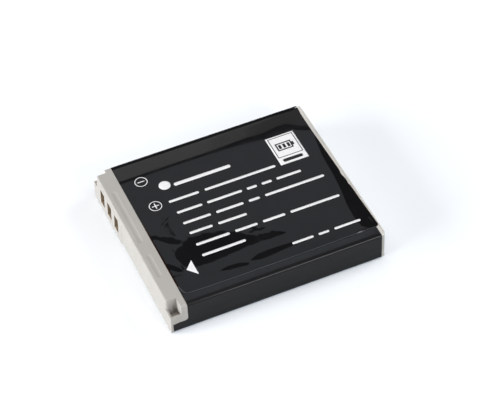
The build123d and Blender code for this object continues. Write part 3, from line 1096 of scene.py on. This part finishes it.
@dataclass
class FilmPrint:
    """White marks printed on the film: polarity signs, insertion arrow, lines of bars and a framed field."""

    film: LabelFilm
    coat: float = 0.012
    coat_share: float = 0.9
    step: float = 0.2
    round_columns: int = 12
    round_crowding: float = 4.0
    disc_middle: float = 0.012
    ring_outer: float = 1.16
    ring_inner: float = 1.02
    ring_sides: int = 48
    sign_length: float = 1.3
    sign_width: float = 0.18
    minus: Point = (-13.18, 11.93)
    plus: Point = (-13.07, 5.42)
    arrow: tuple[Point, ...] = ((-12.34, -8.77), (-13.86, -10.45), (-12.31, -12.17))
    arrow_cells: int = 14
    bullet: Point = (-9.75, 9.35)
    bullet_radius: float = 1.05
    lines: tuple[PrintLine, ...] = (
        PrintLine(-8.2, 8.8, 0.75, (7,), 1.54),
        PrintLine(-10.6, 5.3, 0.56, (5, 12), 1.13),
        PrintLine(-10.3, 2.3, 0.56, (5, 7, 2, 2, 5), 0.945),
        PrintLine(-10.3, -0.5, 0.56, (5, 5, 2, 11), 1.03),
        PrintLine(-10.2, -3.1, 0.56, (4, 5), 1.07),
        PrintLine(-10.2, -6.0, 0.56, (6, 4, 4, 9), 1.04),
        PrintLine(-10.2, -8.6, 0.56, (7,), 1.157),
        PrintLine(4.7, -12.8, 0.5, (4, 2, 5), 0.99),
    )
    bar_round: float = 0.4
    field_low: Point = (10.7, 4.9)
    field_high: Point = (16.1, 12.0)
    field_margin: float = 0.3
    field_line: float = 0.14
    field_foot: float = 1.75
    foot_margin: Point = (0.8, 0.5)
    foot_round: float = 0.3
    cell_size: Point = (3.0, 1.9)
    cell_line: float = 0.26
    cell_cap: Point = (0.35, 0.8)
    cell_bar: Point = (0.5, 1.0)
    cell_bars: int = 3

    def patch(self, u_count: int, v_count: int, place: Callable) -> Patch:
        """A small curved sheet laid on the film.

        Args:
            u_count: cells one way.
            v_count: cells the other way.
            place: gives X and Y for shares from 0 to 1 both ways.

        Returns:
            Its X and Y for each vertex, and its quads.
        """
        u, v = np.meshgrid(np.linspace(0.0, 1.0, u_count + 1), np.linspace(0.0, 1.0, v_count + 1))
        x, y = place(u.ravel(), v.ravel())
        return np.column_stack((x, y)), grid_faces(v_count + 1, u_count + 1)

    def bar(self, low: Point, high: Point, radius: float = 0.0) -> Patch:
        """A bar along X, with rounded ends if a radius is given.

        Args:
            low: lowest corner.
            high: highest corner.
            radius: radius of its corners.

        Returns:
            Its patch.
        """
        length, width = high[0] - low[0], high[1] - low[1]
        columns = max(int(length / self.step), 1) + (self.round_columns if radius else 0)

        def place(u: np.ndarray, v: np.ndarray) -> Spots:
            """Spaces the columns closely at the ends and narrows them to the rounding."""
            crowding = min(1.0, self.round_crowding * radius / length)
            run = length * (u - crowding * np.sin(2.0 * np.pi * u) / (2.0 * np.pi))
            half = width / 2.0 - rounding(np.minimum(run, length - run), radius)
            return low[0] + run, (low[1] + high[1]) / 2.0 + (2.0 * v - 1.0) * half

        return self.patch(columns, max(int(width / self.step), 1), place)

    def disc(self, centre: Point, outer: float, inner: float) -> Patch:
        """A disc or ring.

        Args:
            centre: its middle.
            outer: outer radius.
            inner: inner radius, which is nearly nothing for a disc.

        Returns:
            Its patch.
        """

        def place(u: np.ndarray, v: np.ndarray) -> Spots:
            """Runs round the ring and across it."""
            radius = inner + v * (outer - inner)
            angle = -2.0 * np.pi * u
            return centre[0] + radius * np.cos(angle), centre[1] + radius * np.sin(angle)

        return self.patch(self.ring_sides, max(int((outer - inner) / self.step), 1), place)

    def triangle(self, corners: tuple[Point, ...]) -> Patch:
        """A filled triangle.

        Args:
            corners: its three corners.

        Returns:
            Its patch.
        """
        a, b, c = (np.array(corner) for corner in corners)

        def place(u: np.ndarray, v: np.ndarray) -> Spots:
            """Runs from the first corner to the side across from it."""
            across = b[:, None] * (1.0 - v) + c[:, None] * v
            spot = a[:, None] * (1.0 - u) + across * u
            return spot[0], spot[1]

        return self.patch(self.arrow_cells, self.arrow_cells, place)

    def outline(self, low: Point, high: Point, line: float) -> list[Patch]:
        """Four bars round a rectangle.

        Args:
            low: lowest corner.
            high: highest corner.
            line: width of the bars.

        Returns:
            The four patches.
        """
        return [
            self.bar(low, (high[0], low[1] + line)),
            self.bar((low[0], high[1] - line), high),
            self.bar((low[0], low[1] + line), (low[0] + line, high[1] - line)),
            self.bar((high[0] - line, low[1] + line), (high[0], high[1] - line)),
        ]

    def centred(self, middle: Point, size: Point) -> Patch:
        """A bar of a given size about its middle."""
        (x, y), (half_x, half_y) = middle, (size[0] / 2.0, size[1] / 2.0)
        return self.bar((x - half_x, y - half_y), (x + half_x, y + half_y))

    def signs(self) -> list[Patch]:
        """The two polarity signs in their rings.

        Returns:
            Their patches.
        """
        patches = []
        for spot in (self.minus, self.plus):
            patches.append(self.disc(spot, self.ring_outer, self.ring_inner))
            patches.append(self.centred(spot, (self.sign_length, self.sign_width)))
        arm = (self.sign_length - self.sign_width) / 2.0
        x, y = self.plus
        for side in (-1.0, 1.0):
            middle = y + side * (self.sign_width + arm) / 2.0
            patches.append(self.centred((x, middle), (self.sign_width, arm)))
        return patches

    def bars(self) -> list[Patch]:
        """Every line of print as round-ended bars.

        Returns:
            Their patches.
        """
        patches = []
        for line in self.lines:
            spot, half = line.start, line.height / 2.0
            for units in line.units:
                stop = spot + units * line.pitch
                radius = self.bar_round * line.height
                patches.append(self.bar((spot, line.y - half), (stop, line.y + half), radius))
                spot = stop + line.pitch
        return patches

    def field_marks(self) -> list[Patch]:
        """Dark marks on the white field: a frame, a plain battery sign and a bar.

        Returns:
            Their patches.
        """
        (x0, y0), (x1, y1) = self.field_low, self.field_high
        margin, y_split = self.field_margin, self.field_low[1] + self.field_foot
        patches = self.outline((x0 + margin, y_split), (x1 - margin, y1 - margin), self.field_line)
        x, y = (x0 + x1) / 2.0, (y_split + y1 - margin) / 2.0
        (length, width), (cap, cap_width) = self.cell_size, self.cell_cap
        left = x - (length + cap) / 2.0
        patches += self.outline((left, y - width / 2.0), (left + length, y + width / 2.0), self.cell_line)
        patches.append(self.centred((left + length + cap / 2.0, y), self.cell_cap))
        pitch = (length - 2.0 * self.cell_line) / self.cell_bars
        for i in range(self.cell_bars):
            patches.append(self.centred((left + self.cell_line + (i + 0.5) * pitch, y), self.cell_bar))
        side, rise = self.foot_margin
        patches.append(self.bar((x0 + side, y0 + rise), (x1 - side, y_split - rise), self.foot_round))
        return patches

    def lay(self, name: str, patches: list[Patch], level: int, ink: PrintedInk) -> Piece:
        """Lays patches on the film as one closed coat of ink.

        Args:
            name: the piece's name.
            patches: what is printed.
            level: how many coats lie under it.
            ink: its finish.

        Returns:
            The print.
        """
        points, faces = [], []
        total = 0
        for flat, quads in patches:
            faces += [tuple(total + corner for corner in quad) for quad in quads]
            z = self.film.surface(flat[:, 0], flat[:, 1]) + (level + 1) * self.coat
            points.append(np.column_stack((flat, z)))
            total += len(flat)
        piece = make_object(name, np.concatenate(points), faces, [ink.build()])
        thicken = piece.modifiers.new("coat", "SOLIDIFY")
        thicken.thickness = self.coat * self.coat_share * MM
        thicken.offset = -1.0
        return piece

    def build(self) -> dict[Slot, Piece]:
        """Makes the white print and the dark marks on its field.

        Returns:
            The two pieces, keyed by a slot of the record.
        """
        white = self.signs() + self.bars()
        white += [self.triangle(self.arrow), self.disc(self.bullet, self.bullet_radius, self.disc_middle)]
        white.append(self.bar(self.field_low, self.field_high))
        return {
            Slot.PRINT: self.lay("white_print", white, 0, WHITE_INK),
            Slot.FILM: self.lay("field_print", self.field_marks(), 1, BLACK_INK),
        }


@dataclass(frozen=True)
class SoftBox:
    """A rectangular studio light.

    Attributes:
        name: its name.
        spot: where its middle stands.
        size: its width and height.
        radiance: brightness of its face.
        colour: tint of its light.
        facing: what it is turned to.
    """

    name: str
    spot: Triple
    size: Point
    radiance: float
    colour: Colour
    facing: Facing = Facing.PACK

    def build(self) -> Piece:
        """Makes the light, unseen by the camera itself.

        Returns:
            The lamp.
        """
        lamp = bpy.data.lights.new(self.name, "AREA")
        lamp.shape = "RECTANGLE"
        lamp.size, lamp.size_y = self.size[0] * MM, self.size[1] * MM
        lamp.energy = self.radiance * math.pi * lamp.size * lamp.size_y
        lamp.color = self.colour
        piece = bpy.data.objects.new(self.name, lamp)
        spot = Vector(self.spot)
        toward = -spot if self.facing is Facing.PACK else Vector((0.0, -spot.y, 0.0))
        turn = toward.to_track_quat("-Z", "Y").to_matrix().to_4x4()
        piece.matrix_world = Matrix.Translation(spot * MM) @ turn
        piece.visible_camera = False
        bpy.context.scene.collection.objects.link(piece)
        return piece


@dataclass
class Studio:
    """Pale floor, soft lights, dim surroundings and the photograph's camera."""

    eye: Triple = (-86.38, -220.0, 256.67)
    azimuth_deg: float = -21.991
    elevation_deg: float = 46.631
    roll_deg: float = -2.706
    lens_mm: float = 142.99
    sensor_mm: float = 36.0
    clip_m: Point = (0.01, 100.0)
    floor_half: float = 3000.0
    floor_diffuse: Colour = (0.9, 0.9, 0.9)
    floor_glow: Colour = (0.085, 0.115, 0.15)
    room_colour: Colour = (0.95, 0.97, 1.0)
    room_strength: float = 0.04
    lights: tuple[SoftBox, ...] = (
        SoftBox("key", (-635.0, 40.0, 155.0), (640.0, 270.0), 10.75, (0.985, 1.0, 1.02)),
        SoftBox("ceiling", (-100.0, -50.0, 900.0), (900.0, 900.0), 1.69, (1.05, 1.0, 0.95)),
        SoftBox("right_fill", (560.0, -20.0, 380.0), (420.0, 300.0), 5.3, (0.96, 1.0, 1.06)),
        SoftBox("front", (265.0, -786.0, 366.0), (170.0, 450.0), 11.4, (0.96, 1.0, 1.05)),
        SoftBox("cool_wall", (205.0, 600.0, 699.0), (270.0, 154.0), 1.25, (0.95, 1.0, 1.1), Facing.NEAR_SIDE),
        SoftBox("warm_wall", (141.0, 600.0, 543.5), (142.0, 107.0), 1.92, (1.01, 1.0, 0.99), Facing.NEAR_SIDE),
        SoftBox("warm_edge", (226.0, 600.0, 543.5), (28.0, 107.0), 1.58, (1.01, 1.0, 0.99), Facing.NEAR_SIDE),
        SoftBox("dim_wall", (290.0, 600.0, 543.5), (100.0, 107.0), 0.92, (1.0, 1.0, 1.0), Facing.NEAR_SIDE),
    )

    def build(self) -> None:
        """Makes the whole set."""
        self.build_floor()
        self.build_surroundings()
        for light in self.lights:
            light.build()
        self.build_camera()

    def build_floor(self) -> None:
        """A wide floor that glows a little for what looks at it, so that it is white and keeps the shadow."""
        half = self.floor_half
        corners = np.array([(-half, -half, 0.0), (half, -half, 0.0), (half, half, 0.0), (-half, half, 0.0)])
        material = bpy.data.materials.new("white_floor")
        material.use_nodes = True
        tree = material.node_tree
        tree.nodes.clear()
        diffuse = tree.nodes.new("ShaderNodeBsdfDiffuse")
        diffuse.inputs["Color"].default_value = (*self.floor_diffuse, 1.0)
        glow = tree.nodes.new("ShaderNodeEmission")
        glow.inputs["Color"].default_value = (*self.floor_glow, 1.0)
        path = tree.nodes.new("ShaderNodeLightPath")
        seen = path.outputs["Is Camera Ray"]
        for name in ("Is Glossy Ray", "Is Transmission Ray"):
            either = tree.nodes.new("ShaderNodeMath")
            either.operation = "MAXIMUM"
            tree.links.new(seen, either.inputs[0])
            tree.links.new(path.outputs[name], either.inputs[1])
            seen = either.outputs["Value"]
        tree.links.new(seen, glow.inputs["Strength"])
        both = tree.nodes.new("ShaderNodeAddShader")
        tree.links.new(diffuse.outputs["BSDF"], both.inputs[0])
        tree.links.new(glow.outputs["Emission"], both.inputs[1])
        output = tree.nodes.new("ShaderNodeOutputMaterial")
        tree.links.new(both.outputs["Shader"], output.inputs["Surface"])
        make_object("floor", corners, [(0, 1, 2, 3)], [material])

    def build_surroundings(self) -> None:
        """A dim even room, so that the film's folds can turn dark."""
        world = bpy.data.worlds.new("dim_room")
        world.use_nodes = True
        backdrop = world.node_tree.nodes["Background"]
        backdrop.inputs["Color"].default_value = (*self.room_colour, 1.0)
        backdrop.inputs["Strength"].default_value = self.room_strength
        bpy.context.scene.world = world
        bpy.context.scene.view_settings.view_transform = "Standard"

    def build_camera(self) -> None:
        """The photograph's own viewpoint."""
        azimuth, elevation = math.radians(self.azimuth_deg), math.radians(self.elevation_deg)
        roll = math.radians(self.roll_deg)
        level = math.cos(elevation)
        back = Vector((math.sin(azimuth) * level, -math.cos(azimuth) * level, math.sin(elevation)))
        right = (-back).cross(Vector((0.0, 0.0, 1.0))).normalized()
        up = right.cross(-back)
        tilted = right * math.cos(roll) + up * math.sin(roll)
        upward = up * math.cos(roll) - right * math.sin(roll)
        turn = Matrix((tilted, upward, back)).transposed().to_4x4()
        lens = bpy.data.cameras.new("photo_camera")
        lens.sensor_fit = "HORIZONTAL"
        lens.sensor_width = self.sensor_mm
        lens.lens = self.lens_mm
        lens.clip_start, lens.clip_end = self.clip_m
        camera = bpy.data.objects.new("photo_camera", lens)
        camera.matrix_world = Matrix.Translation(Vector(self.eye) * MM) @ turn
        bpy.context.scene.collection.objects.link(camera)
        bpy.context.scene.camera = camera


@dataclass
class RigidPieces:
    """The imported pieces, each in the finish of its slot."""

    nodes: dict[str, Piece]
    slots: dict[str, str]
    contacts: tuple[str, ...] = ("contact_negative", "contact_sense", "contact_positive")
    side_on: float = 0.5

    def dress(self) -> None:
        """Puts each slot's finish on its pieces."""
        finishes = {slot.value: finish.build() for slot, finish in SLOT_FINISHES.items()}
        for name, piece in self.nodes.items():
            piece.data.materials.clear()
            piece.data.materials.append(finishes[self.slots[name]])
            LOG.info("dressed %s as %s", name, self.slots[name])
        windows = [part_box(name) for name in self.contacts]

        def in_window(spot: Vector, normal: Vector) -> bool:
            """Whether a face is a wall of a contact window."""
            inside = any(low.y < spot.y < high.y and low.z < spot.z < high.z for low, high in windows)
            return inside and abs(normal.x) < self.side_on

        def on_top(spot: Vector, normal: Vector) -> bool:
            """Whether a face lies on the upper side."""
            return normal.z > self.side_on and spot.z > packed_box[1][2] / 2.0

        # Painted shade and painted reflection: the contact windows' walls take a darker brown copy of the
        # plastic.
        self.dress_faces("terminal_frame", WINDOW_PAINTED_SHADE_AND_REFLECTION, in_window)
        # Painted light: the base cap's upward faces take a lighter copy of the same plastic.
        self.dress_faces("base_cap", BASE_TOP_PAINTED_LIGHT, on_top)

    def dress_faces(self, name: str, finish: MouldedPlastic, chosen: Callable) -> None:
        """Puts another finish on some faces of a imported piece.

        Args:
            name: the piece.
            finish: the finish for the chosen faces.
            chosen: tells from a face's middle and normal whether it is one of them.
        """
        piece = self.nodes[name]
        piece.data.materials.append(finish.build())
        place, turn = piece.matrix_world, piece.matrix_world.to_3x3()
        faces = [face for face in piece.data.polygons if chosen(place @ face.center, turn @ face.normal)]
        for face in faces:
            face.material_index = 1
        LOG.info("dressed %d faces of %s as %s", len(faces), name, finish.name)


def main() -> None:
    """Builds the dressed battery and its set."""
    logging.basicConfig(level=logging.INFO, format="%(message)s")
    Studio().build()
    slots = {part["node"]: part["material_slot"] for part in frame["record"]["subparts"]}
    RigidPieces(frame["nodes"], slots).dress()
    film = LabelFilm()
    sheet = film.build()
    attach(sheet, BODY)
    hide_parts("label_film")
    LOG.info("built %s", sheet.name)
    for slot, piece in FilmPrint(film).build().items():
        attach(piece, BODY)
        LOG.info("built %s", piece.name)


if __name__ == "__main__":
    main()
